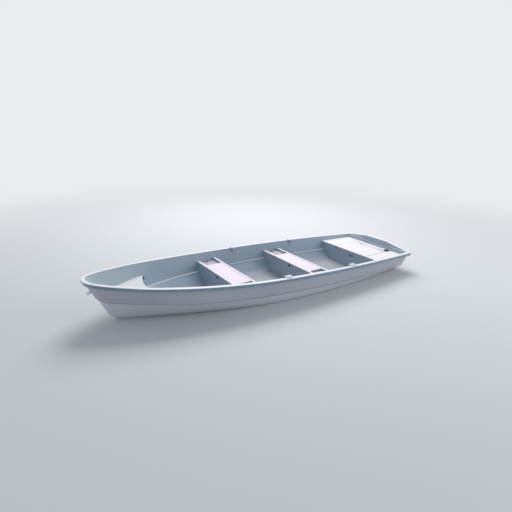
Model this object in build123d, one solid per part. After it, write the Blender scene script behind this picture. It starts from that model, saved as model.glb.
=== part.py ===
from build123d import *
import math
import os

# Rowing boat of glass-fibre mouldings: an outer hull, an inner liner, box seats and a rolled rim.
# Millimetres. +X points to the bow, +Y to port, +Z up. The origin is amidships on the waterline.

os.makedirs("parts", exist_ok=True)

# Lines of the hull: sheer, stem and transom
STERN_X = -2085.0
TRANSOM_RAKE = 0.25
SHEER_BEND_X = 100.0
SHEER_MID = 350.0
SHEER_SLOPE = 0.0333
SHEER_RADIUS = 22200.0
STEM_FOOT_X = 1900.0
STEM_RAKE = 0.545
STEM_RETURN = 12.0
STRAKE_DEPTH = 195.0
STRAKE_RADIUS = 28000.0
STRAKE_STEP = 9.0
HEADROOM = 120.0

# Table of offsets: station, keel depth, then half-breadths at the water, the strake and the sheer
OFFSETS = [
    (-2155.0, 35.0, 440.0, 552.0, 608.0),
    (-1400.0, 75.0, 545.0, 632.0, 673.0),
    (-600.0, 95.0, 588.0, 672.0, 700.0),
    (200.0, 100.0, 540.0, 644.0, 675.0),
    (1000.0, 85.0, 335.0, 536.0, 573.0),
    (1400.0, 65.0, 198.0, 424.0, 478.0),
    (1700.0, None, None, 285.0, 378.0),
    (2000.0, None, None, 122.0, 222.0),
]
FRAME_SHARES = [0, 0.08, 0.18, 0.3, 0.42, 0.54, 0.65, 0.75, 0.84, 0.91, 0.96, 1]
INSET_FADE = 120.0
CHINE_SHARE = 0.5
BILGE_SHARE = 0.45
KNEE_SHARE = 0.25

# Skins and walls
HULL_SKIN = 6.0
TRANSOM_WALL = 16.0
LINER_SKIN = 5.0
LEDGE_Z = 143.0
LEDGE_TILT = 1.2
LEDGE_WIDTH = 50.0
FLOOR_Z = -40.0
FLOOR_LIFT = 45.0

# Rolled rim
RIM_WIDTH = 50.0
RIM_OVERHANG = 20.0
RIM_PLATE = 6.0
RIM_LIP = 50.0
RIM_LIP_WALL = 6.0
RIM_ROUND = 9.0
RIM_STERN_REACH = 42.0
TRANSOM_RISE = 60.0
TRANSOM_FLAT = 380.0
TRANSOM_SHOULDER = 1200.0

# Seats: front and aft faces, top height
FORWARD_THWART = (347.0, 636.0, 275.0)
AFT_THWART = (-740.0, -467.0, 230.0)
THWART_RIM = 36.0
THWART_DISH = 3.0
THWART_ROUND = 8.0
POCKET_DEPTH = 30.0
POCKET_INNER_Y = 370.0
DRAIN_DIAMETER = 16.0
DRAIN_DEPTH = 12.0
DRAIN_INBOARD = 85.0
BOW_SEAT_TOP = 300.0
BOW_SEAT_WALL_X = 1403.0
BOW_SEAT_MID_X = 1510.0
BOW_SEAT_WALL_Y = 430.0
BOW_SEAT_BEVEL = 4.0
STERN_SEAT_FRONT = -1580.0
STERN_SEAT_TOP = 228.0
SEAT_ROUND = 6.0
JOINT_UNDER_SEAT = 20.0

# Stern locker, its lid and hinges
LID_AFT_X = -2015.0
LID_STARBOARD_Y = -290.0
LID_PORT_Y = 310.0
LID_GAP = 5.0
LID_SEAT_GAP = 0.5
LID_PLATE = 8.0
LID_FLANGE = 38.0
LID_FLANGE_WALL = 8.0
LID_ROUND = 3.0
LOCKER_WALL = 28.0
LOCKER_FLOOR_Z = 45.0
FINGER_WIDTH = 100.0
FINGER_Y = 45.0
FINGER_DEPTH = 22.0
FINGER_LOW_Z = 140.0
FINGER_OPEN = 6.0
HINGE_OFFSET_Y = 200.0
HINGE_LENGTH = 60.0
HINGE_PIN = 5.0
HINGE_FIT = 0.05
HINGE_KNUCKLE = 9.0
HINGE_LIFT = 0.3
HINGE_END_GAP = 0.4
HINGE_LEAF = 2.0
HINGE_LEAF_WIDTH = 26.0

# Rowlock sockets: centre station of each pair
ROWLOCKS = [("forward", 50.0), ("aft", -970.0)]
SOCKET_BORE = 13.0
SOCKET_TUBE = 22.0
SOCKET_LENGTH = 50.0
SOCKET_INBOARD = 25.0
PAD_LENGTH = 84.0
PAD_ON_RIM = 24.0
PAD_INBOARD = 40.0
PAD_HEIGHT = 12.0
PAD_SOLE = 5.0
PAD_CORNER = 14.0

# Small fittings
PLUG_DIAMETER = 34.0
PLUG_DROP = 36.0
PLUG_STAND = 6.0
CAP_DIAMETER = 74.0
CAP_HEIGHT = 12.0
CAP_Y = 284.0
EYE_HOLE = 18.0
EYE_OUTER = 34.0
EYE_THICK = 10.0
EYE_STALK = 14.0
EYE_REACH = 6.0
EYE_PLATE = 4.0
BOW_EYE_Z = 372.0
STERN_EYE_Y = 500.0
STERN_EYE_Z = 175.0
KEEL_WIDTH = 32.0
KEEL_DEPTH = 34.0
KEEL_END_X = 1400.0

# Room past the boat on every side, and past a face that is cut through
BEYOND = 3000.0
PAST = 10.0
ON_BASE = (Align.CENTER, Align.CENTER, Align.MIN)


def sheer(x, drop=0.0, radius=SHEER_RADIUS):
    """Height of the rim's top edge at station x: a straight run, then an arc up to the bow."""
    reach = max(0.0, x - SHEER_BEND_X)
    return SHEER_MID - drop + SHEER_SLOPE * (x - SHEER_BEND_X) + reach ** 2 / (2 * radius)


def strake(x):
    """Height of the strake at station x: it follows the sheer and drops away from it at the bow."""
    return sheer(x, STRAKE_DEPTH, STRAKE_RADIUS)


def stem_x(line):
    """Station where the raked stem meets the sheer or the strake."""
    x = STEM_FOOT_X
    for _ in range(12):
        x = STEM_FOOT_X + STEM_RAKE * line(x)
    return x


# Long lines of the hull, port side, from the transom to the stem
strake_end = stem_x(strake)
sheer_end = stem_x(sheer) - STEM_RETURN
keel_line = Spline([(x, 0, -depth) for x, depth, water, side, gunwale in OFFSETS if depth])
water_line = Spline([(x, water, 0) for x, depth, water, side, gunwale in OFFSETS if water]
                    + [(STEM_FOOT_X, 0, 0)])
strake_line = Spline([(x, side, strake(x)) for x, depth, water, side, gunwale in OFFSETS]
                     + [(strake_end, 0, strake(strake_end))],
                     tangents=[(1, 0.12, 0.03), (0, -1, 0)])
sheer_line = Spline([(x, gunwale, sheer(x)) for x, depth, water, side, gunwale in OFFSETS]
                    + [(sheer_end, 0, sheer(sheer_end))],
                    tangents=[(1, 0.1, 0.03), (0, -1, 0)])


def on_transom(point, stern):
    """The point moved along the boat onto the raked transom plane."""
    return Vector(stern - TRANSOM_RAKE * point.Z, point.Y, point.Z)


def inset_point(line, share, inset, stern):
    """A point part of the way along a line, moved towards the middle of the boat."""
    point, along = line @ share, line % share
    if share == 1:
        return Vector(point.X - inset, 0, point.Z)
    moved = point + Vector(along.Y, -along.X, 0).normalized() * inset
    least = point.Y * min(1, 1 - inset / INSET_FADE)
    moved = Vector(moved.X, max(moved.Y, least), moved.Z)
    return on_transom(moved, stern) if share == 0 else moved


def rounded_corner(before, corner, after):
    """An arc that rounds a corner, as far along both legs as the bilge share of the shorter one."""
    back, on = (before - corner), (after - corner)
    reach = BILGE_SHARE * min(back.length, on.length)
    back, on = back.normalized(), on.normalized()
    half_angle = math.radians(back.get_angle(on)) / 2
    radius = reach * math.tan(half_angle)
    middle = corner + (back + on).normalized() * (radius / math.sin(half_angle) - radius)
    return corner + back * reach, middle, corner + on * reach


def frame_outline(share, inset, lift, stern, step):
    """Half section: bottom, round bilge, side, topside and down the middle. The hull's own has the strake
    step, and the liner's has its knee lower, so that its wall is flat down to the ledge."""
    keel = (keel_line @ share) + Vector(0, 0, lift)
    if share == 0:
        keel = on_transom(keel, stern)
    water = inset_point(water_line, share, inset, stern)
    below = inset_point(strake_line, share, inset + step, stern)
    above = inset_point(strake_line, share, inset, stern)
    gunwale = inset_point(sheer_line, share, inset, stern)
    knee = above if step else above + (water - above) * KNEE_SHARE
    top = gunwale + (gunwale - knee) * (HEADROOM / (gunwale.Z - knee.Z))
    chine = water + (water - below) * (CHINE_SHARE * (keel.Z - water.Z) / (water.Z - below.Z))
    low, bilge, high = rounded_corner(keel, chine, below)
    middle = Vector(keel.X, 0, top.Z)
    if share == 0:
        middle = on_transom(middle, stern)
    sides = [Line(high, below), Line(below, above), Line(above, top)] if step else [
        Line(high, knee), Line(knee, top)]
    lines = [Line(keel, low), ThreePointArc(low, bilge, high), *sides, Line(top, middle), Line(middle, keel)]
    return Wire([line.edge() for line in lines])


def half_form(inset=0.0, lift=0.0, stern=STERN_X, step=STRAKE_STEP):
    """Port half of the boat's body up past the sheer, or of a smaller or larger body nested with it."""
    return Solid.make_loft([frame_outline(share, inset, lift, stern, step) for share in FRAME_SHARES])


def whole(half):
    """Both halves of a symmetrical piece, sewn along the middle into one solid."""
    port = [face for face in half.faces() if face.bounding_box().max.Y > 0.001]
    return Solid(Shell(port + [mirror(face, about=Plane.XZ) for face in port]))


def below_sheer(drop=0.0):
    """All that lies lower than the sheer by a drop, with the raised middle of the transom."""
    heights = [(x, sheer(x) - drop) for x in (-BEYOND, SHEER_BEND_X, STEM_FOOT_X, BEYOND)]
    side = (Polyline([heights[0], (-BEYOND, -BEYOND), (BEYOND, -BEYOND), heights[3]])
            + Line(heights[0], heights[1]) + ThreePointArc(heights[1], heights[2], heights[3]))
    boat = extrude(Plane.XZ * make_face(side), BEYOND, both=True)
    low = sheer(OFFSETS[0][0]) - drop
    half_flat, half_shoulder = TRANSOM_FLAT / 2, TRANSOM_SHOULDER / 2
    back = Polyline([(-BEYOND, -BEYOND), (-BEYOND, low), (-half_shoulder, low),
                     (-half_flat, low + TRANSOM_RISE), (half_flat, low + TRANSOM_RISE),
                     (half_shoulder, low), (BEYOND, low), (BEYOND, -BEYOND)], close=True)
    crown = extrude(Plane.YZ.offset(-BEYOND) * make_face(back), BEYOND + STERN_X - TRANSOM_RAKE * low)
    return boat + crown


def slab(low_x, high_x, low_z, high_z, low_y=-BEYOND, high_y=BEYOND):
    """A square-cornered block between stated limits."""
    return Pos((low_x + high_x) / 2, (low_y + high_y) / 2, (low_z + high_z) / 2) * Box(
        high_x - low_x, high_y - low_y, high_z - low_z)


def side_y(x, inset):
    """Half-breadth of the sheer line at a station, less an inset."""
    low, high = 0.0, 1.0
    for _ in range(40):
        share = (low + high) / 2
        low, high = (share, high) if (sheer_line @ share).X < x else (low, share)
    return (sheer_line @ low).Y - inset


def rounded(shape, radius, *places):
    """The shape with the edge nearest to each stated point rounded, and the edges that carry on from it."""
    return fillet([shape.edges().sort_by_distance(Vector(place))[0] for place in places], radius)


def save(name, shape):
    """Writes a piece to its own file."""
    export_step(shape, f"parts/{name}.step")


# Joints across the mouldings, under the seats: each section and the station of its forward end
stern_joint = STERN_SEAT_FRONT - JOINT_UNDER_SEAT
bow_joint = BOW_SEAT_MID_X + JOINT_UNDER_SEAT
joints = [("stern", stern_joint), ("aft", sum(AFT_THWART[:2]) / 2), ("mid", sum(FORWARD_THWART[:2]) / 2),
          ("fore", bow_joint)]


def cut_at(shape, joint_x):
    """The parts of a piece aft and forward of a joint."""
    joint = Plane.YZ.offset(joint_x)
    return shape.split(joint, keep=Keep.BOTTOM), shape.split(joint, keep=Keep.TOP)


def save_sections(name, half):
    """Cuts one half of a moulding at the joints, and saves each section with its mirror image."""
    for section, joint_x in joints:
        aft_part, half = cut_at(half, joint_x)
        save(f"{name}_{section}", whole(aft_part))
    save(f"{name}_bow", whole(half))


# Hull moulding: a thin skin with a thick transom
cockpit_stern = STERN_X + TRANSOM_WALL + LINER_SKIN
under_rim = below_sheer(RIM_PLATE)
hull_body = half_form()
hull_hollow = half_form(HULL_SKIN, HULL_SKIN, STERN_X + TRANSOM_WALL)
save_sections("hull", (hull_body & under_rim) - hull_hollow)

# Keel: a shallow fin along the bottom, cut to the hull
keel_edge = Spline([(x, -depth - KEEL_DEPTH) for x, depth, water, side, gunwale in OFFSETS if depth])
fin = make_face(keel_edge + Polyline([keel_edge @ 1, keel_edge @ 1 + Vector(0, BEYOND),
                                      keel_edge @ 0 + Vector(0, BEYOND), keel_edge @ 0]))
fin_half = extrude(Plane.XZ * fin, -KEEL_WIDTH / 2) & slab(STERN_X, KEEL_END_X, -BEYOND, 0)
save("keel", whole(fin_half - hull_body))

# Rolled rim: a flat plate over the hull's edge with a lip turned down outside, in four lengths
rim_inset = RIM_WIDTH - RIM_OVERHANG
rim_stern = STERN_X - RIM_STERN_REACH
cockpit = half_form(rim_inset, FLOOR_LIFT, cockpit_stern, 0)
rim_body = half_form(-RIM_OVERHANG, 0, rim_stern) & (below_sheer() - below_sheer(RIM_LIP))
lip_hollow = half_form(RIM_LIP_WALL - RIM_OVERHANG, 0, rim_stern + RIM_LIP_WALL) & under_rim
rim = rounded(rim_body - lip_hollow - cockpit, RIM_ROUND, (0, side_y(0, -RIM_OVERHANG), sheer(0)))
stern_rim, long_rim = cut_at(rim, stern_joint)
side_rim, bow_rim = cut_at(long_rim, bow_joint)
save("gunwale_transom", whole(stern_rim))
save("gunwale_port", side_rim)
save("gunwale_starboard", mirror(side_rim, about=Plane.XZ))
save("gunwale_bow", whole(bow_rim))

# Liner moulding: side walls, a ledge and the floor of the wells
above_ledge = Pos(0, 0, LEDGE_Z) * Rot(0, -LEDGE_TILT, 0) * Box(2 * BEYOND, 2 * BEYOND, BEYOND, align=ON_BASE)
floor_to_ledge = slab(-BEYOND, BEYOND, FLOOR_Z, BEYOND) - above_ledge
lower_inset = rim_inset + LEDGE_WIDTH
cavity = (cockpit & above_ledge) + (half_form(lower_inset, FLOOR_LIFT, cockpit_stern, 0) & floor_to_ledge)
liner_stern = cockpit_stern - LINER_SKIN
upper_skin = half_form(rim_inset - LINER_SKIN, FLOOR_LIFT - LINER_SKIN, liner_stern, 0)
lower_skin = half_form(lower_inset - LINER_SKIN, FLOOR_LIFT - LINER_SKIN, liner_stern, 0)
liner_body = (upper_skin & Pos(0, 0, -LINER_SKIN) * above_ledge) + (lower_skin & (
    floor_to_ledge + Pos(0, 0, -LINER_SKIN) * floor_to_ledge))
save_sections("liner", (liner_body & under_rim) - cavity)


def thwart(aft_x, front_x, top_z):
    """Box seat from wall to wall: raised edges, a dished top and at each end a pocket with its drain."""
    low_x, high_x = aft_x + THWART_RIM, front_x - THWART_RIM
    block = cavity & slab(aft_x, front_x, FLOOR_Z - PAST, top_z)
    block -= slab(low_x, high_x, top_z - THWART_DISH, top_z + PAST)
    block -= slab(low_x, high_x, top_z - POCKET_DEPTH, top_z + PAST, POCKET_INNER_Y)
    block = rounded(block, THWART_ROUND, (aft_x, POCKET_INNER_Y, top_z), (front_x, POCKET_INNER_Y, top_z))
    middle_x = (aft_x + front_x) / 2
    drain = Pos(middle_x, side_y(middle_x, DRAIN_INBOARD), top_z - POCKET_DEPTH - DRAIN_DEPTH)
    return whole(block - drain * Cylinder(DRAIN_DIAMETER / 2, POCKET_DEPTH, align=ON_BASE))


save("forward_thwart", thwart(*FORWARD_THWART))
save("aft_thwart", thwart(*AFT_THWART))

# Bow seat: a box in the nose with a hollow-curved aft edge
edge = ThreePointArc((BOW_SEAT_WALL_X, -BOW_SEAT_WALL_Y), (BOW_SEAT_MID_X, 0),
                     (BOW_SEAT_WALL_X, BOW_SEAT_WALL_Y))
nose = make_face(edge + Polyline([edge @ 1, (BOW_SEAT_WALL_X, BEYOND), (BEYOND, BEYOND), (BEYOND, -BEYOND),
                                  (BOW_SEAT_WALL_X, -BEYOND), edge @ 0]))
nose_block = Pos(0, 0, FLOOR_Z - PAST) * extrude(nose, BOW_SEAT_TOP - FLOOR_Z + PAST)
top_edge = nose_block.edges().sort_by_distance(Vector(BOW_SEAT_MID_X, 0, BOW_SEAT_TOP))[0]
save("bow_seat", whole(cavity & chamfer(top_edge, BOW_SEAT_BEVEL)))

# Stern seat: a box with an open locker under the lid
lid_front = STERN_SEAT_FRONT
lid_mid_y = (LID_STARBOARD_Y + LID_PORT_Y) / 2
rebate_z = STERN_SEAT_TOP - LID_FLANGE
stern_seat = cavity & slab(-BEYOND, lid_front, FLOOR_Z - PAST, STERN_SEAT_TOP)
stern_seat = whole(rounded(stern_seat, SEAT_ROUND, (lid_front, LID_PORT_Y, STERN_SEAT_TOP)))
stern_seat -= slab(LID_AFT_X - LID_GAP, lid_front + PAST, rebate_z, STERN_SEAT_TOP + PAST,
                   LID_STARBOARD_Y - LID_GAP, LID_PORT_Y + LID_GAP)
stern_seat -= slab(LID_AFT_X + LOCKER_WALL, lid_front - LOCKER_WALL - FINGER_DEPTH,
                   LOCKER_FLOOR_Z, rebate_z + PAST, LID_STARBOARD_Y + LOCKER_WALL, LID_PORT_Y - LOCKER_WALL)
arch_z = rebate_z + FINGER_OPEN - FINGER_WIDTH / 2
arch = Pos(lid_front - FINGER_DEPTH, FINGER_Y, arch_z) * Rot(0, 90, 0) * Cylinder(
    FINGER_WIDTH / 2, FINGER_DEPTH + PAST, align=ON_BASE)
save("stern_seat", stern_seat - (arch & slab(-BEYOND, BEYOND, FINGER_LOW_Z, rebate_z + PAST)))

# Locker lid: a plate with a flange all round, flush with the seat
lid = slab(LID_AFT_X, lid_front, rebate_z + LID_SEAT_GAP, STERN_SEAT_TOP, LID_STARBOARD_Y, LID_PORT_Y)
lid -= slab(LID_AFT_X + LID_FLANGE_WALL, lid_front - LID_FLANGE_WALL,
            rebate_z - PAST, STERN_SEAT_TOP - LID_PLATE,
            LID_STARBOARD_Y + LID_FLANGE_WALL, LID_PORT_Y - LID_FLANGE_WALL)
lid = rounded(lid, SEAT_ROUND, (lid_front, lid_mid_y, STERN_SEAT_TOP))
save("locker_lid", rounded(lid, LID_ROUND, (LID_AFT_X, lid_mid_y, STERN_SEAT_TOP)))

# Lid hinges: a leaf on the seat, a leaf on the lid and a pin
hinge_x = LID_AFT_X - LID_GAP / 2
hinge_z = STERN_SEAT_TOP + HINGE_KNUCKLE / 2 + HINGE_LIFT
knuckle_length = HINGE_LENGTH / 3 - HINGE_END_GAP


def knuckle(y):
    """One of the rolled tubes that the hinge pin runs through."""
    tube = Cylinder(HINGE_KNUCKLE / 2, knuckle_length) - Cylinder(HINGE_PIN / 2 + HINGE_FIT, HINGE_LENGTH)
    return Pos(hinge_x, y, hinge_z) * Rot(90, 0, 0) * tube


def leaf(side, y, length, reach=HINGE_KNUCKLE / 2 - HINGE_LEAF / 2):
    """Flat leaf on the seat top, on the aft side or the lid side of the pin."""
    low, high = sorted((hinge_x + side * reach, hinge_x + side * HINGE_LEAF_WIDTH))
    return slab(low, high, STERN_SEAT_TOP, STERN_SEAT_TOP + HINGE_LEAF, y - length / 2, y + length / 2)


for name, y in (("port", lid_mid_y + HINGE_OFFSET_Y), ("starboard", lid_mid_y - HINGE_OFFSET_Y)):
    ends = (y - HINGE_LENGTH / 3, y + HINGE_LENGTH / 3)
    seat_half = leaf(-1, y, HINGE_LENGTH, HINGE_KNUCKLE)
    for end in ends:
        seat_half += knuckle(end) + leaf(-1, end, knuckle_length)
    save(f"hinge_seat_leaf_{name}", seat_half)
    save(f"hinge_lid_leaf_{name}", knuckle(y) + leaf(1, y, knuckle_length))
    pin = Cylinder(HINGE_PIN / 2, HINGE_LENGTH)
    save(f"hinge_pin_{name}", Pos(hinge_x, y, hinge_z) * Rot(90, 0, 0) * pin)


# Rowlock sockets: a raised pad on the rim's inner edge with a tube down through it
rim_top = below_sheer()
for place, x in ROWLOCKS:
    for side_name, side in (("port", 1), ("starboard", -1)):
        edge_y = side_y(x, rim_inset)
        sole = Pos(x, side * (edge_y + (PAD_ON_RIM - PAD_INBOARD) / 2), sheer(x) - PAD_SOLE)
        pad_outline = RectangleRounded(PAD_LENGTH, PAD_ON_RIM + PAD_INBOARD, PAD_CORNER)
        pad = extrude(sole * pad_outline, PAD_HEIGHT + PAD_SOLE)
        socket = Pos(x, side * (edge_y - SOCKET_INBOARD), sheer(x) + (PAD_HEIGHT - SOCKET_LENGTH) / 2)
        tube = Cylinder(SOCKET_TUBE / 2, PAD_HEIGHT + SOCKET_LENGTH)
        bore = Cylinder(SOCKET_BORE / 2, 3 * SOCKET_LENGTH)
        save(f"rowlock_socket_{place}_{side_name}", (pad - rim_top) + socket * tube - socket * bore)

# Vent plugs in the thwarts' front faces
for name, seat in (("forward", FORWARD_THWART), ("aft", AFT_THWART)):
    aft_x, front_x, top_z = seat
    plug = Cylinder(PLUG_DIAMETER / 2, PLUG_STAND)
    save(f"vent_plug_{name}", Pos(front_x + PLUG_STAND / 2, 0, top_z - PLUG_DROP) * Rot(0, 90, 0) * plug)

# Round inspection cap on the stern seat, between the lid and the transom
cap_x = (LID_AFT_X + cockpit_stern - TRANSOM_RAKE * STERN_SEAT_TOP) / 2
cap = Cylinder(CAP_DIAMETER / 2, CAP_HEIGHT, align=ON_BASE)
save("inspection_cap", Pos(cap_x, CAP_Y, STERN_SEAT_TOP) * cap)

# Towing eyes: a round plate on a stalk, its hole across the boat, its base at the origin and facing +X
eye_x = EYE_REACH + EYE_OUTER / 2
across = Pos(eye_x, 0, 0) * Rot(90, 0, 0)
outward = Rot(0, 90, 0)
root = Cylinder(EYE_STALK / 2, eye_x - (EYE_OUTER + EYE_HOLE) / 4, align=ON_BASE)
base = Cylinder(EYE_OUTER / 2, EYE_PLATE, align=ON_BASE)
eye = across * Cylinder(EYE_OUTER / 2, EYE_THICK) + outward * root + outward * base
eye -= across * Cylinder(EYE_HOLE / 2, EYE_THICK + PAST)

stem_foot, stem_run = strake_line @ 1, (sheer_line @ 1) - (strake_line @ 1)
stem_tilt = math.degrees(math.atan2(stem_run.X, stem_run.Z))
eye_seat = stem_foot + stem_run * ((BOW_EYE_Z - stem_foot.Z) / stem_run.Z)
save("bow_eye", Pos(*eye_seat) * Rot(0, stem_tilt, 0) * eye - whole(hull_body))
transom_tilt = -math.degrees(math.atan(TRANSOM_RAKE))
for name, side in (("port", 1), ("starboard", -1)):
    face_x = STERN_X - TRANSOM_RAKE * STERN_EYE_Z
    save(f"stern_eye_{name}", Pos(face_x, side * STERN_EYE_Y, STERN_EYE_Z) * Rot(0, transom_tilt, 180) * eye)
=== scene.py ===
import bmesh
import bpy
import math
from mathutils import Matrix, Vector, geometry


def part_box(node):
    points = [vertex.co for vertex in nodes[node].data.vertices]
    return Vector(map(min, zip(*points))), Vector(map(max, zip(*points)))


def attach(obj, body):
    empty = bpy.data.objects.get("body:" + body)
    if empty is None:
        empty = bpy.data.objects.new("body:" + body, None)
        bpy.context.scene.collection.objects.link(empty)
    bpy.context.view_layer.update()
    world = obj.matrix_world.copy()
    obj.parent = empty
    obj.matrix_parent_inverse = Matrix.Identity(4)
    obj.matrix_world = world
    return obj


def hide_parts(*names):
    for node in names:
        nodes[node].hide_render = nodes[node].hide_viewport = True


# Rowing boat of glass-fibre mouldings, dressed in the order in which it is put together.
# Metres. +X points to the bow, +Y to port, +Z up; z = 0 is the waterline.
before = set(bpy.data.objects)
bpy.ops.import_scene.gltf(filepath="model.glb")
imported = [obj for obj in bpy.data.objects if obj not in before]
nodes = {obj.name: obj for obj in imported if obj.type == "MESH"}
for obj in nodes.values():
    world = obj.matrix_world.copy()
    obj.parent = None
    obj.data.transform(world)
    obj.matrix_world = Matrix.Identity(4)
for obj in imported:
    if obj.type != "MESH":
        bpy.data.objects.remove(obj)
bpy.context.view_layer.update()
scene = bpy.context.scene


# Camera: 2.1 m above the waterline, off the port bow.
# Its place and axes were worked out from the boat's outline and its waterline.
FOCAL_PIXELS = 419.4
FRAME_PIXELS = 512
SENSOR_WIDTH = 36
CAMERA_PLACE = (2.8588, 4.21607, 2.11335)
camera_right = Vector((-0.83831, 0.54488, 0.01849))
camera_up = Vector((-0.15849, -0.27600, 0.94800))
camera_back = camera_right.cross(camera_up)
camera_data = bpy.data.cameras.new("camera")
camera_data.sensor_width = SENSOR_WIDTH
camera_data.lens = FOCAL_PIXELS / FRAME_PIXELS * SENSOR_WIDTH
camera = bpy.data.objects.new("camera", camera_data)
turn = Matrix((camera_right, camera_up, camera_back)).transposed()
camera.matrix_world = Matrix.Translation(CAMERA_PLACE) @ turn.to_4x4()
scene.collection.objects.link(camera)
scene.camera = camera
scene.view_settings.view_transform = "Standard"


# Light: one large soft panel high over the far side, a weak one over the near side and
# a low even fill from all round, so that tops are bright and the walls lie in soft shade.
SKY_BLUE = (0.84, 0.90, 1.0, 1)
SKY_STRENGTH = 0.50
BACKDROP_PALE = (0.82, 0.83, 0.84, 1)


def panel(name, place, size, power):
    """A square light panel that faces the middle of the boat."""
    light = bpy.data.lights.new(name, "AREA")
    light.size, light.energy = size, power
    lamp = bpy.data.objects.new(name, light)
    lamp.location = place
    lamp.rotation_euler = (-Vector(place)).to_track_quat("-Z", "Y").to_euler()
    scene.collection.objects.link(lamp)


class Value:
    """A value that changes over the surface. Sums on it add the Math nodes that work it out."""

    def __init__(self, owner, socket):
        self.owner, self.socket = owner, socket

    def maths(self, operation, *others, **settings):
        settings["operation"] = operation
        return self.owner.add("ShaderNodeMath", settings, self, *others)

    def __add__(self, other):
        return self.maths("ADD", other)

    def __sub__(self, other):
        return self.maths("SUBTRACT", other)

    def __rsub__(self, other):
        return self.owner.add("ShaderNodeMath", {"operation": "SUBTRACT"}, other, self)

    def __mul__(self, other):
        return self.maths("MULTIPLY", other)

    __radd__, __rmul__ = __add__, __mul__


class NodeTree:
    """The nodes of the world or of a material, and one method that adds any node."""

    def __init__(self, tree):
        self.tree = tree

    def put(self, value, socket):
        """Links a value to a socket, or sets the socket to a number or a colour."""
        if isinstance(value, Value):
            self.tree.links.new(value.socket, socket)
        else:
            socket.default_value = value

    def add(self, kind, settings, *values, output=0, numbered=None, **named):
        """Adds a node: its settings first, then its sockets by order, by number or by name."""
        node = self.tree.nodes.new(kind)
        for setting, value in settings.items():
            setattr(node, setting, value)
        named = {socket.replace("_", " "): value for socket, value in named.items()}
        for socket, value in [*enumerate(values), *(numbered or {}).items(), *named.items()]:
            self.put(value, node.inputs[socket])
        return Value(self, node.outputs[output])


panel("key_light", (-2.6, -4.2, 6.5), 5.0, 520)
panel("fill_light", (-4.5, 5.0, 3.0), 4.0, 80)
world = bpy.data.worlds.new("studio")
world.use_nodes = True
scene.world = world
studio = NodeTree(world.node_tree)
sky_node = studio.tree.nodes["Background"]
studio.put(SKY_BLUE, sky_node.inputs["Color"])
studio.put(SKY_STRENGTH, sky_node.inputs["Strength"])
sky = Value(studio, sky_node.outputs[0])
backdrop = studio.add("ShaderNodeBackground", {}, Color=BACKDROP_PALE)
by_camera, by_gloss, by_glass = (studio.add("ShaderNodeLightPath", {}, output=f"Is {ray} Ray")
                                 for ray in ("Camera", "Glossy", "Transmission"))
seen = (by_camera + by_gloss).maths("ADD", by_glass, use_clamp=True)
surroundings = studio.add("ShaderNodeMixShader", {}, seen, sky, backdrop)
studio.put(surroundings, studio.tree.nodes["World Output"].inputs["Surface"])


# Floor: pale studio floor at the level of the waterline, open where the hull passes through it.
# It turns into the backdrop far away, so no edge shows.
FLOOR_RADIUS = 60.0
FLOOR_CORNERS = 128
FLOOR_PALE = (0.66, 0.67, 0.68, 1)
FADE_REACH = (3.0, 9.0)
SECTIONS = ("bow", "fore", "mid", "aft", "stern")


class Finish(NodeTree):
    """A material: its shader, and the patterns that several finishes are made of."""

    def __init__(self, name, **constants):
        self.material = bpy.data.materials.new(name)
        self.material.use_nodes = True
        super().__init__(self.material.node_tree)
        self.shader = self.tree.nodes["Principled BSDF"]
        for socket, value in constants.items():
            self.drive(socket.replace("_", " "), value)
        self.place = self.add("ShaderNodeTexCoord", {}, output="Object")
        self.x, self.y, self.z = (self.add("ShaderNodeSeparateXYZ", {}, self.place, output=axis)
                                  for axis in "XYZ")

    def drive(self, socket, value):
        self.put(value, self.shader.inputs[socket])

    def noise(self, per_metre, detail=3.0, place=None):
        return self.add("ShaderNodeTexNoise", {}, Vector=place or self.place, Scale=per_metre,
                        Detail=detail)

    def step(self, value, low, high):
        """0 below low, 1 above high, smooth between."""
        return self.add("ShaderNodeMapRange", {"interpolation_type": "SMOOTHSTEP"}, Value=value,
                        From_Min=low, From_Max=high)

    def patches(self, per_metre, low, high, detail=3.0, stretch=None):
        """Blotches that fade in between two levels of noise, drawn out where stretch is low."""
        place = stretch and self.add("ShaderNodeMapping", {}, Vector=self.place, Scale=stretch)
        return self.step(self.noise(per_metre, detail, place), low, high)

    def facing(self, axis, low, high):
        """1 where the surface faces along an axis and 0 where it turns away from it."""
        normal = self.add("ShaderNodeTexCoord", {}, output="Normal")
        return self.step(self.add("ShaderNodeSeparateXYZ", {}, normal, output=axis), low, high)

    def mixed(self, amount, first, second):
        """One colour turning into another as the amount goes from 0 to 1."""
        return self.add("ShaderNodeMix", {"data_type": "RGBA"}, output=2,
                        numbered={0: amount, 6: first, 7: second})

    def bump(self, height, distance):
        """Small relief of the surface; a second call adds to the first."""
        normal = self.shader.inputs["Normal"]
        below = {"Normal": Value(self, normal.links[0].from_socket)} if normal.links else {}
        relief = self.add("ShaderNodeBump", {}, Height=height, Distance=distance, **below)
        self.drive("Normal", relief)

    def put_on(self, *names):
        for name in names:
            nodes[name].data.materials.clear()
            nodes[name].data.materials.append(self.material)


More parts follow.
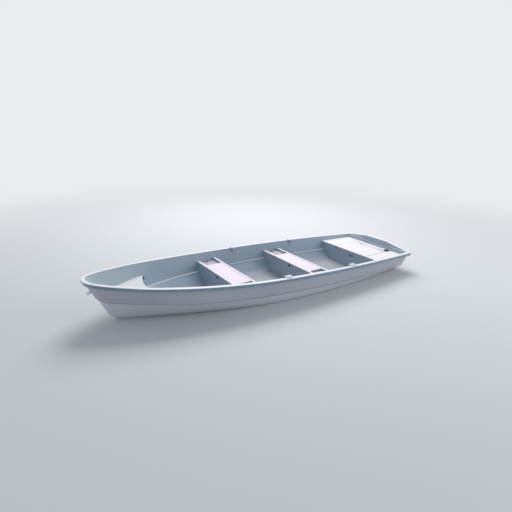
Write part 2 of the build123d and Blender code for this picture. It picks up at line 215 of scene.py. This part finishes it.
waterline = []
for section in SECTIONS:
    skin = nodes[f"hull_{section}"].data
    for edge in skin.edges:
        ends = (skin.vertices[corner].co for corner in edge.vertices)
        low, high = sorted(ends, key=lambda point: point.z)
        if low.z < 0 < high.z:
            waterline.append(low.lerp(high, -low.z / (high.z - low.z)).xy)
waterline = [waterline[corner] for corner in geometry.convex_hull_2d(waterline)]
bpy.ops.object.select_all(action="DESELECT")
bpy.ops.mesh.primitive_circle_add(vertices=FLOOR_CORNERS, radius=FLOOR_RADIUS, location=(0, 0, 0))
floor = bpy.context.object
floor.name = "floor"
bpy.ops.object.mode_set(mode="EDIT")
bpy.ops.mesh.primitive_circle_add(vertices=len(waterline), radius=1.0, location=(0, 0, 0))
bpy.ops.object.mode_set(mode="OBJECT")
for vertex, point in zip(floor.data.vertices[-len(waterline):], waterline):
    vertex.co = (point.x, point.y, 0)
bpy.ops.object.mode_set(mode="EDIT")
bpy.ops.mesh.select_all(action="SELECT")
bpy.ops.mesh.fill(use_beauty=True)
bpy.ops.mesh.normals_make_consistent(inside=False)
bpy.ops.object.mode_set(mode="OBJECT")
studio_floor = Finish("studio_floor", Base_Color=FLOOR_PALE, Roughness=0.8,
                      Specular_IOR_Level=0.15)
from_boat = studio_floor.add("ShaderNodeVectorMath", {"operation": "LENGTH"}, studio_floor.place,
                             output="Value")
far_off = studio_floor.step(from_boat, *FADE_REACH)
near_floor = Value(studio_floor, studio_floor.shader.outputs[0])
glow = studio_floor.add("ShaderNodeEmission", {}, Color=BACKDROP_PALE)
fade = studio_floor.add("ShaderNodeMixShader", {}, far_off, near_floor, glow)
studio_floor.put(fade, studio_floor.tree.nodes["Material Output"].inputs["Surface"])
floor.data.materials.append(studio_floor.material)


# Hull moulding and keel: glass fibre with an off-white gelcoat, gloss when new and now dulled.
# A thin line under the strake step is painted dark as shade, and the hull under the step is
# painted lighter as reflected light from the water; a faint scum lies at the waterline.
JOINTS = [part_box(f"hull_{section}")[0].x for section in SECTIONS[:-1]]
JOINT_REACH = 0.00002      # how far from a joint its faces and points may lie
THIN_REACH = 0.0007        # thin faces at the bow lie this near to the middle line
KNIT_REACH = 0.0002        # border points nearer than this are one
SLIVER = 0.00005
SMOOTH_ANGLE = math.radians(28)
GELCOAT = {"Specular_IOR_Level": 0.4, "Coat_Weight": 0.12, "Coat_Roughness": 0.3}
HULL_WHITE = (0.50, 0.52, 0.57, 1)
HULL_DULL = (0.46, 0.48, 0.53, 1)
# painted reflected light: the hull under the strake step is painted lighter, as lit by the water
HULL_UNDER_STEP_LIT = (0.70, 0.71, 0.76, 1)
TRANSOM_BLUE = (0.38, 0.46, 0.54, 1)
# dark colour of the rubbed dirt marks, and of the painted shade line under the strake step
HULL_GRIME_AND_SHADE = (0.20, 0.21, 0.23, 1)
HULL_SCUM = (0.36, 0.36, 0.32, 1)
ARC_START = 0.1            # the hull's long lines are straight aft of here and arcs forward of it
LINE_SLOPE = 0.0333
STRAKE_LEVEL, STRAKE_RADIUS = 0.155, 28.0
# heights under the strake step of the painted shade line, and the softness of its edges
STEP_SHADE_LOW, STEP_SHADE_HIGH, STEP_SHADE_SOFT = -0.015, -0.001, 0.003
SCUM_LOW, SCUM_HIGH, SCUM_RAGGED = 0.010, 0.045, 0.03


def pick_faces(piece, test):
    """Selects the faces whose centre and normal pass a test."""
    bpy.ops.object.mode_set(mode="OBJECT")
    for part in (*piece.data.vertices, *piece.data.edges):
        part.select = False
    for face in piece.data.polygons:
        face.select = test(face.center, face.normal)
    bpy.ops.object.mode_set(mode="EDIT")


def nearest(edges, point):
    """The edge that lies nearest to a point, and the share of the edge at which it does."""
    found = []
    for edge in edges:
        first, second = (corner.co for corner in edge.verts)
        share = geometry.intersect_point_line(point, first, second)[1]
        share = min(max(share, 0.0), 1.0)
        found.append(((first.lerp(second, share) - point).length, edge, share))
    return min(found, key=lambda entry: entry[0])[1:]


def knit(piece):
    """Closes the joints: the border points of each length go into the border of the next.

    The thin faces on the middle line are taken out first, and their gap is closed the same way.
    """
    mesh = bmesh.new()
    mesh.from_mesh(piece.data)
    thin = [face for face in mesh.faces
            if all(abs(corner.co.y) < THIN_REACH for corner in face.verts)]
    bmesh.ops.delete(mesh, geom=thin, context="FACES")
    seams = [(0, joint, JOINT_REACH) for joint in JOINTS] + [(1, 0.0, THIN_REACH)]
    for axis, level, reach, side in [(*seam, side) for seam in seams for side in (1, -1)]:
        mesh.verts.index_update()
        border = [edge for edge in mesh.edges if edge.is_boundary
                  and all(abs(corner.co[axis] - level) < reach for corner in edge.verts)]
        for corner in {corner for edge in border for corner in edge.verts}:
            corner.co[axis] = level
        own = [edge for edge in border
               if (edge.link_faces[0].calc_center_median()[axis] - level) * side > 0]
        other = [edge for edge in border if edge not in own]
        if not other:
            continue
        shared = {corner for edge in other for corner in edge.verts}
        loose = {corner for edge in own for corner in edge.verts} - shared
        merged = {}
        for corner in sorted(loose, key=lambda corner: corner.index):
            edge, share = nearest(other, corner.co)
            first, second = edge.verts
            length = (first.co - second.co).length
            if share * length < KNIT_REACH:
                merged[corner] = first
            elif (1 - share) * length < KNIT_REACH:
                merged[corner] = second
            else:
                added, merged[corner] = bmesh.utils.edge_split(edge, first, share)
                other.append(added)
        bmesh.ops.weld_verts(mesh, targetmap=merged)
    mesh.to_mesh(piece.data)
    mesh.free()


def seamless(name, parts, finish):
    """One moulding without joints: copies of its lengths, merged, with no faces at the joints."""
    bpy.ops.object.select_all(action="DESELECT")
    for part in parts:
        copy = bpy.data.objects.new(name, nodes[part].data.copy())
        scene.collection.objects.link(copy)
        copy.select_set(True)
        bpy.context.view_layer.objects.active = copy
    bpy.ops.object.join()
    piece = bpy.context.view_layer.objects.active
    piece.name = piece.data.name = name
    bpy.ops.object.mode_set(mode="EDIT")
    bpy.ops.mesh.customdata_custom_splitnormals_clear()
    pick_faces(piece, lambda centre, normal: abs(normal.x) > 0.999
               and any(abs(centre.x - joint) < JOINT_REACH for joint in JOINTS))
    bpy.ops.mesh.delete(type="FACE")
    bpy.ops.mesh.select_all(action="SELECT")
    bpy.ops.mesh.remove_doubles(threshold=JOINT_REACH)
    bpy.ops.object.mode_set(mode="OBJECT")
    knit(piece)
    bpy.ops.object.mode_set(mode="EDIT")
    bpy.ops.mesh.select_all(action="SELECT")
    bpy.ops.mesh.dissolve_degenerate(threshold=SLIVER)
    bpy.ops.mesh.select_all(action="SELECT")
    bpy.ops.mesh.fill_holes(sides=0)
    bpy.ops.object.mode_set(mode="OBJECT")
    bpy.ops.object.shade_smooth_by_angle(angle=SMOOTH_ANGLE)
    piece.data.materials.clear()
    piece.data.materials.append(finish.material)
    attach(piece, "boat")
    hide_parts(*parts)


def height_over(finish, level, radius):
    """Height over a long line of the hull: a straight run aft, then an arc up to the bow."""
    reach = finish.x - ARC_START
    rise = reach.maths("MAXIMUM", 0.0)
    return finish.z - (reach * LINE_SLOPE + level) - rise * rise * (0.5 / radius)


def mould_relief(finish, waves, wave_depth, peel, peel_depth):
    """The slow waves of a mould and the fine orange peel of its gelcoat, so many to a metre."""
    finish.bump(finish.noise(waves, 2), wave_depth)
    finish.bump(finish.noise(peel, 2), peel_depth)


hull = Finish("hull_gelcoat", **GELCOAT)
cloud = hull.patches(1.6, 0.3, 0.75)
streaks = hull.patches(5, 0.5, 0.8, detail=4, stretch=(1, 1, 0.12))
rubbed = hull.patches(7, 0.55, 0.95, stretch=(0.15, 1, 4))
over_step = height_over(hull, STRAKE_LEVEL, STRAKE_RADIUS)
# painted light: 1 under the strake step, where the hull is painted lighter
under_step_lit = 1 - hull.step(over_step, -0.006, -0.001)
# painted shade: a thin dark line just under the strake step, uneven in strength
step_shade = (hull.step(over_step, STEP_SHADE_LOW - STEP_SHADE_SOFT, STEP_SHADE_LOW)
         * (1 - hull.step(over_step, STEP_SHADE_HIGH, STEP_SHADE_HIGH + STEP_SHADE_SOFT))
         * (0.65 + hull.noise(3) * 0.5))
ragged = hull.z + hull.noise(12, 4) * SCUM_RAGGED
scum = (1 - hull.step(ragged, SCUM_LOW, SCUM_HIGH)) * 0.5
transom_inside = hull.facing("X", 0.3, 0.6) * (1 - hull.step(hull.x, -2.05, -1.95))
colour = hull.mixed(cloud, HULL_WHITE, HULL_DULL)
for amount, coat in ((under_step_lit, HULL_UNDER_STEP_LIT), (streaks * 0.10, HULL_SCUM), (rubbed * 0.10, HULL_GRIME_AND_SHADE),
                     (step_shade * 0.9, HULL_GRIME_AND_SHADE), (transom_inside, TRANSOM_BLUE), (scum, HULL_SCUM)):
    colour = hull.mixed(amount, colour, coat)
hull.drive("Base Color", colour)
hull.drive("Roughness", 0.34 + cloud * 0.08 + rubbed * 0.15 + scum * 0.3)
mould_relief(hull, waves=2.5, wave_depth=0.0015, peel=420, peel_depth=0.0002)
hull.put_on("keel")
seamless("hull_moulding", [f"hull_{section}" for section in SECTIONS], hull)


# Rolled rim: the liner's edge turned out and down over the hull. Glass fibre in blue-grey
# gelcoat. Its top is painted pale as lit, with patches of wear, and the lip is painted deeper
# blue as shade, where it lies out of the sun, with paler knocks.
SHEER_LEVEL, SHEER_RADIUS = 0.35, 22.2
# heights under the sheer between which the painted shade on the lip fades out
LIP_SHADE_FADE = (-0.044, -0.030)
# painted light: the colour of the rim's top as lit from above
RIM_LIT_TOP = (0.80, 0.80, 0.81, 1)
RIM_WORN = (0.72, 0.74, 0.77, 1)
# painted shade: deeper blue on the upper part of the lip, fading out towards its bottom edge
LIP_SHADE = (0.20, 0.275, 0.38, 1)
LIP_LIGHT = (0.36, 0.44, 0.50, 1)
rim = Finish("rim_gelcoat", **GELCOAT)
over_sheer = height_over(rim, SHEER_LEVEL, SHEER_RADIUS)
# painted shade on the lip's upper part, under the roll of the rim
lip = rim.mixed(rim.step(over_sheer, *LIP_SHADE_FADE), LIP_LIGHT, LIP_SHADE)
lip = rim.mixed(rim.patches(4, 0.35, 0.8, detail=4) * 0.35, lip, LIP_LIGHT)
lit_rim_top = rim.mixed(rim.patches(18, 0.45, 0.75, detail=5), RIM_LIT_TOP, RIM_WORN)
# painted light on the faces turned up; the same mask makes them rougher with wear
worn_and_lit_top = rim.facing("Z", 0.35, 0.75)
knocks = rim.patches(38, 0.62, 0.72, detail=5, stretch=(0.5, 1, 1)) * 0.35
rim.drive("Base Color", rim.mixed(worn_and_lit_top, rim.mixed(knocks, lip, RIM_WORN), lit_rim_top))
rim.drive("Roughness", 0.32 + worn_and_lit_top * 0.15 + knocks * 0.2)
mould_relief(rim, waves=3.5, wave_depth=0.0012, peel=380, peel_depth=0.0002)
seamless("rolled_rim", [name for name in nodes if name.startswith("gunwale")], rim)


# Liner: inner moulding of the wells, glass fibre with a light blue-grey gelcoat, laid up in one
# mould. Faces turned up, such as the ledge, are painted lighter as lit, and so is the nose;
# boots have scuffed the floors grey and left dirt, and the floors are painted darker as shade.
LINER_BLUE = (0.38, 0.465, 0.545, 1)
LINER_DEEP = (0.35, 0.435, 0.51, 1)
# painted light on the liner's faces turned up, such as the ledge
LEDGE_LIT = (0.56, 0.61, 0.65, 1)
# painted light towards the nose, where the liner looks lighter
NOSE_LIT = (0.50, 0.55, 0.53, 1)
# the well floors' colour: scuffed grey, and painted darker as shade between the walls and seats
FLOOR_SCUFFED_AND_SHADED = (0.33, 0.355, 0.39, 1)
FLOOR_DIRTY = (0.26, 0.275, 0.285, 1)
FLOOR_HEIGHTS = (0.07, 0.12)
NOSE_REACH = (1.3, 2.0)


def blue_gelcoat(name):
    """Blue-grey gelcoat, a little uneven, and its colour, to be worked on further."""
    gelcoat = Finish(name, Specular_IOR_Level=0.4, Coat_Weight=0.08, Coat_Roughness=0.2)
    cloud = gelcoat.patches(2.4, 0.3, 0.75, detail=4)
    gelcoat.drive("Roughness", 0.32 + cloud * 0.10 + gelcoat.facing("Z", 0.8, 0.97) * 0.15)
    mould_relief(gelcoat, waves=3.5, wave_depth=0.002, peel=380, peel_depth=0.0003)
    return gelcoat, gelcoat.mixed(cloud, LINER_BLUE, LINER_DEEP)


liner, colour = blue_gelcoat("liner_gelcoat")
upward = liner.facing("Z", 0.78, 0.95)
# floors of the wells: painted shade, with dirt patches on it
on_floor = upward * (1 - liner.step(liner.z, *FLOOR_HEIGHTS))
dirt = liner.patches(11, 0.48, 0.78, detail=6) * 0.5
floor_dirt_and_shade = liner.mixed(dirt, FLOOR_SCUFFED_AND_SHADED, FLOOR_DIRTY)
# painted light on faces turned up, painted light at the nose, and the floors' painted shade with
# dirt
for amount, coat in ((upward * 0.9, LEDGE_LIT),
                     (liner.step(liner.x, *NOSE_REACH) * 0.45, NOSE_LIT),
                     (on_floor * 0.95, floor_dirt_and_shade)):
    colour = liner.mixed(amount, colour, coat)
liner.drive("Base Color", colour)
seamless("liner_moulding", [f"liner_{section}" for section in SECTIONS], liner)


# Thwarts, end seats and locker lid: box mouldings bonded to the liner and filled with foam.
# Their tops are painted nearly white as lit, the thwarts' with a pink painted sheen, and the
# pocket floors are painted lighter as lit; they have patches of wear and a fine moulded grain;
# dirt lies in the lid's gap.
# painted light and sheen: the seat tops' colours as lit from above, the thwarts' with a pink sheen
THWART_LIT_TOP = (0.85, 0.735, 0.83, 1)
STERN_LIT_TOP = (0.84, 0.81, 0.82, 1)
BOW_SEAT_LIT_TOP = (0.73, 0.735, 0.73, 1)
SEAT_WORN = (0.70, 0.69, 0.73, 1)
# painted light: the pocket floors' colour as lit, dimmer than the tops
POCKET_LIT = (0.46, 0.44, 0.48, 1)
GAP_DIRT = (0.20, 0.175, 0.14, 1)
GAP_DIRT_WIDTH = 0.004
GRAINS_PER_METRE = 210.0
GRAIN_DEPTH = 0.0005
TOPS = {"forward_thwart": (0.275, THWART_LIT_TOP), "aft_thwart": (0.230, THWART_LIT_TOP),
        "bow_seat": (0.300, BOW_SEAT_LIT_TOP), "stern_seat": (0.228, STERN_LIT_TOP),
        "locker_lid": (0.228, STERN_LIT_TOP)}
lid_low, lid_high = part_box("locker_lid")
lid_middle, lid_half = (lid_low + lid_high) / 2, (lid_high - lid_low) / 2
for seat, (top_z, pale) in TOPS.items():
    moulding, colour = blue_gelcoat(f"{seat}_gelcoat")
    near_top = moulding.step(moulding.z, top_z - 0.05, top_z - 0.04)
    # painted light on the faces turned up near each top
    sunlit = moulding.facing("Z", 0.6, 0.9) * near_top
    # the pockets, whose floors get a dimmer painted light
    in_pocket = 1 - moulding.step(moulding.z, top_z - 0.02, top_z - 0.01)
    wear = moulding.patches(14, 0.5, 0.8, detail=6) * 0.3
    seat_top = moulding.mixed(in_pocket, moulding.mixed(wear, pale, SEAT_WORN), POCKET_LIT)
    colour = moulding.mixed(sunlit * 0.95, colour, seat_top)
    if seat in ("stern_seat", "locker_lid"):
        along = (moulding.x - lid_middle.x).maths("ABSOLUTE") - lid_half.x
        across = (moulding.y - lid_middle.y).maths("ABSOLUTE") - lid_half.y
        from_gap = along.maths("MAXIMUM", across).maths("ABSOLUTE")
        gap_dirt = 1 - moulding.step(from_gap, GAP_DIRT_WIDTH / 2, 1.5 * GAP_DIRT_WIDTH)
        colour = moulding.mixed(gap_dirt * sunlit * (0.5 + wear), colour, GAP_DIRT)
    moulding.drive("Base Color", colour)
    grain = moulding.add("ShaderNodeTexVoronoi", {}, Vector=moulding.place,
                         Scale=GRAINS_PER_METRE)
    moulding.bump(grain * sunlit, GRAIN_DEPTH)
    moulding.put_on(seat)


# Rowlock sockets: pads and tubes moulded in pale grey plastic, screwed to the rim.
# They are chalky with age.
SOCKET_GREY = (0.50, 0.55, 0.61, 1)
SOCKET_CHALK = (0.66, 0.69, 0.74, 1)
socket_plastic = Finish("grey_plastic", Specular_IOR_Level=0.4)
chalk = socket_plastic.patches(30, 0.35, 0.7, detail=4)
socket_plastic.drive("Base Color", socket_plastic.mixed(chalk, SOCKET_GREY, SOCKET_CHALK))
socket_plastic.drive("Roughness", 0.42 + chalk * 0.2)
socket_plastic.bump(socket_plastic.noise(250), 0.0004)
socket_plastic.put_on(*[name for name in nodes if name.startswith("rowlock_socket")])


# Vent plugs: black moulded screw plugs in the seats' faces, which close the foam's filling holes.
# Each has a rounded edge, a dished face and a slot for a coin. The one in the bow seat is deeper.
PLUG_BLACK = (0.014, 0.014, 0.017, 1)
PLUG_DUSTY = (0.05, 0.05, 0.055, 1)
PLUG_RADIUS = 0.017
PLUG_STAND = 0.006
PLUG_EDGE = 0.0014
PLUG_RIM = 0.0030
PLUG_DISH = 0.0012
COIN_SLOT = (0.019, 0.0024, 0.0060)
PLUG_ROLLS = {"forward": 0.4, "aft": 1.9}
BOW_PLUG = ((1.4312, -0.372, 0.264), (-0.914, 0.405, 0), 1.1)
BOW_PLUG_STRETCH = 2.5
CREASE_ANGLE = math.radians(35)
AXIS_REACH = 0.002         # faces whose centre is nearer than this to the axis are at the middle


def start_piece(name, add, **shape):
    """A new piece from one primitive, alone selected and in edit mode."""
    bpy.ops.object.select_all(action="DESELECT")
    add(**shape)
    piece = bpy.context.object
    piece.name = piece.data.name = name
    bpy.ops.object.mode_set(mode="EDIT")
    return piece


def end_master(piece):
    """Place and size worked into the mesh, smooth shading with sharp creases kept."""
    bpy.ops.object.mode_set(mode="OBJECT")
    bpy.ops.object.transform_apply(location=True, rotation=True, scale=True)
    bpy.ops.object.shade_smooth_by_angle(angle=CREASE_ANGLE)


def pick_top(piece, within=math.inf):
    """Selects the faces on top, or only those at the middle of the top."""
    pick_faces(piece, lambda centre, normal: normal.z > 0.9 and centre.xy.length < within)


def fit_copies(name, master, finish, body, places, stretch=1.0):
    """One piece of copies of a master, each with its place, the way it faces and its roll."""
    bpy.ops.object.select_all(action="DESELECT")
    for place, facing, roll in places:
        copy = bpy.data.objects.new(name, master.data.copy())
        spin = Vector(facing).to_track_quat("Z", "Y").to_matrix() @ Matrix.Rotation(roll, 3, "Z")
        copy.data.transform(Matrix.Translation(place) @ spin.to_4x4()
                            @ Matrix.Diagonal((1, 1, stretch, 1)))
        scene.collection.objects.link(copy)
        copy.select_set(True)
        bpy.context.view_layer.objects.active = copy
    if len(places) > 1:
        bpy.ops.object.join()
    piece = bpy.context.view_layer.objects.active
    piece.name = piece.data.name = name
    piece.data.materials.clear()
    piece.data.materials.append(finish.material)
    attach(piece, body)
    return piece


black_plastic = Finish("black_plastic")
dust = black_plastic.patches(40, 0.4, 0.8, detail=5)
black_plastic.drive("Base Color", black_plastic.mixed(dust, PLUG_BLACK, PLUG_DUSTY))
black_plastic.drive("Roughness", 0.35 + dust * 0.3)
black_plastic.bump(black_plastic.noise(300), 0.0003)
plug = start_piece("plug_master", bpy.ops.mesh.primitive_cylinder_add, vertices=48,
                   radius=PLUG_RADIUS, depth=PLUG_STAND, location=(0, 0, PLUG_STAND / 2))
pick_top(plug)
bpy.ops.mesh.bevel(offset=PLUG_EDGE, segments=3, affect="EDGES")
pick_top(plug, AXIS_REACH)
bpy.ops.mesh.inset(thickness=PLUG_RIM, depth=0)
bpy.ops.mesh.inset(thickness=PLUG_DISH, depth=-PLUG_DISH)
end_master(plug)
slot_cutter = start_piece("slot_cutter", bpy.ops.mesh.primitive_cube_add, size=1.0,
                          location=(0, 0, PLUG_STAND))
bpy.ops.transform.resize(value=COIN_SLOT)
end_master(slot_cutter)
bpy.ops.object.select_all(action="DESELECT")
plug.select_set(True)
bpy.context.view_layer.objects.active = plug
coin_slot = plug.modifiers.new("coin_slot", "BOOLEAN")
coin_slot.operation, coin_slot.solver, coin_slot.object = "DIFFERENCE", "EXACT", slot_cutter
bpy.ops.object.modifier_apply(modifier="coin_slot")
bpy.data.objects.remove(slot_cutter)
for seat, roll in PLUG_ROLLS.items():
    low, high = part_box(f"vent_plug_{seat}")
    place = (low.x, (low.y + high.y) / 2, (low.z + high.z) / 2)
    slotted = fit_copies(f"vent_plug_{seat}_slotted", plug, black_plastic, "boat",
                         [(place, (1, 0, 0), roll)])
    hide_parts(f"vent_plug_{seat}")
fit_copies("vent_plug_bow", plug, black_plastic, "boat", [BOW_PLUG],
           stretch=BOW_PLUG_STRETCH)
bpy.data.objects.remove(plug)


# Inspection cap: black screw cap on the stern seat, moulded with a fluted edge and a raised bar
# to turn it by. It closes a round hole to the space under the seat.
UP = (0, 0, 1)
CAP_RADIUS = 0.037
CAP_HEIGHT = 0.012
CAP_BODY = 0.0085
CAP_EDGE = 0.0016
CAP_RIM = 0.0050
CAP_DISH = 0.0020
CAP_RING, CAP_RING_RISE = 0.0080, 0.0004
CAP_ROLL = 0.6
FLUTES = 36
FLUTE_INSET, FLUTE_DEPTH = 0.0006, 0.0010
BAR_SIZE = (0.050, 0.010, 0.0090)
BAR_EDGE = 0.0022
cap = start_piece("cap_master", bpy.ops.mesh.primitive_cylinder_add, vertices=2 * FLUTES,
                  radius=CAP_RADIUS, depth=CAP_BODY, location=(0, 0, CAP_BODY / 2))
pick_faces(cap, lambda centre, normal: abs(normal.z) < 0.1
           and round(math.atan2(centre.y, centre.x) / (math.pi / FLUTES) - 0.5) % 2 == 0)
bpy.ops.mesh.inset(thickness=FLUTE_INSET, depth=-FLUTE_DEPTH, use_individual=True)
pick_top(cap)
bpy.ops.mesh.bevel(offset=CAP_EDGE, segments=3, affect="EDGES")
pick_top(cap, AXIS_REACH)
bpy.ops.mesh.inset(thickness=CAP_RIM, depth=0)
bpy.ops.mesh.inset(thickness=CAP_DISH, depth=-CAP_DISH)
bpy.ops.mesh.inset(thickness=CAP_RING, depth=CAP_RING_RISE)
bpy.ops.mesh.select_all(action="DESELECT")
bpy.ops.mesh.primitive_cube_add(size=1.0, location=(0, 0, CAP_HEIGHT - BAR_SIZE[2] / 2))
bpy.ops.transform.resize(value=BAR_SIZE)
bpy.ops.mesh.bevel(offset=BAR_EDGE, segments=4, affect="EDGES")
end_master(cap)
low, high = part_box("inspection_cap")
cap_place = ((low.x + high.x) / 2, (low.y + high.y) / 2, low.z)
fluted = fit_copies("inspection_cap_fluted", cap, black_plastic, "boat",
                    [(cap_place, UP, CAP_ROLL)])
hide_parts("inspection_cap")
bpy.data.objects.remove(cap)


# Drain collars: black rubber rings, pressed into the drain holes in the pockets at the
# thwarts' ends. Each is a flattened ring that stands a little over the pocket's floor.
COLLAR_RADIUS, COLLAR_THICKNESS, COLLAR_FLATTENED = 0.0115, 0.0042, 0.6
DRAINS = ((0.4915, 0.5641, 0.245), (-0.6035, 0.6150, 0.200))
collar = start_piece("collar_master", bpy.ops.mesh.primitive_torus_add,
                     major_radius=COLLAR_RADIUS, minor_radius=COLLAR_THICKNESS,
                     major_segments=36, minor_segments=12, location=(0, 0, 0))
bpy.ops.mesh.select_all(action="SELECT")
bpy.ops.transform.resize(value=(1, 1, COLLAR_FLATTENED))
end_master(collar)
fit_copies("drain_collars", collar, black_plastic, "boat",
           [((x, side * y, z), UP, 0) for x, y, z in DRAINS for side in (1, -1)])
bpy.data.objects.remove(collar)


# Eyes and hinges: stainless steel, brushed and a little marked by water.
# The eyes take a shackle at the stem and the transom; the hinges carry the locker lid.
STEEL_BRIGHT = (0.60, 0.60, 0.61, 1)
STEEL_MARKED = (0.44, 0.44, 0.44, 1)
steel = Finish("stainless", Metallic=1.0)
steel.drive("Base Color", steel.mixed(steel.noise(90, 4), STEEL_BRIGHT, STEEL_MARKED))
steel.drive("Roughness", 0.20 + steel.noise(140, 4) * 0.25)
steel.put_on("bow_eye", "stern_eye_port", "stern_eye_starboard",
             *[name for name in nodes if name.startswith("hinge")])


# Screws: domed stainless heads with a round recess. Two hold each rowlock pad and each
# hinge leaf on the seat, and one holds each leaf on the lid, with which it moves.
SCREW_RADIUS = 0.0042
SCREW_HEIGHT = 0.0018
SCREW_EDGE = 0.0014
RECESS_RIM, RECESS_SLOPE, RECESS_DEPTH = 0.0010, 0.0002, 0.0010
PAD_SCREW_REACH, PAD_SCREW_EDGE = 0.028, 0.012
LEAF_TOP = 0.230
SEAT_SCREW_X, SEAT_SCREW_Y = 0.0085, 0.020
LID_SCREW_X, LID_SCREW_ROLL = 0.008, 0.5
screw = start_piece("screw_master", bpy.ops.mesh.primitive_cylinder_add, vertices=24,
                    radius=SCREW_RADIUS, depth=2 * SCREW_HEIGHT, location=(0, 0, 0))
pick_top(screw)
bpy.ops.mesh.bevel(offset=SCREW_EDGE, segments=3, affect="EDGES")
pick_top(screw, AXIS_REACH / 2)
bpy.ops.mesh.inset(thickness=RECESS_RIM, depth=0)
bpy.ops.mesh.inset(thickness=RECESS_SLOPE, depth=-RECESS_DEPTH)
end_master(screw)
on_pads = []
for name in nodes:
    if name.startswith("rowlock_socket"):
        low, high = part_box(name)
        y = high.y - PAD_SCREW_EDGE if high.y > 0 else low.y + PAD_SCREW_EDGE
        on_pads += [(((low.x + high.x) / 2 + way * PAD_SCREW_REACH, y, high.z), UP, way)
                    for way in (1, -1)]
on_seat, on_lid = [], []
for side in ("port", "starboard"):
    low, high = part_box(f"hinge_seat_leaf_{side}")
    middle = (low.y + high.y) / 2
    on_seat += [((low.x + SEAT_SCREW_X, middle + way * SEAT_SCREW_Y, LEAF_TOP), UP, way)
                for way in (1, -1)]
    lid_leaf_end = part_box(f"hinge_lid_leaf_{side}")[1].x
    on_lid.append(((lid_leaf_end - LID_SCREW_X, middle, LEAF_TOP), UP, LID_SCREW_ROLL))
for name, body, places in (("pad_screws", "boat", on_pads), ("seat_leaf_screws", "boat", on_seat),
                           ("lid_leaf_screws", "lid", on_lid)):
    fit_copies(name, screw, steel, body, places)
bpy.data.objects.remove(screw)
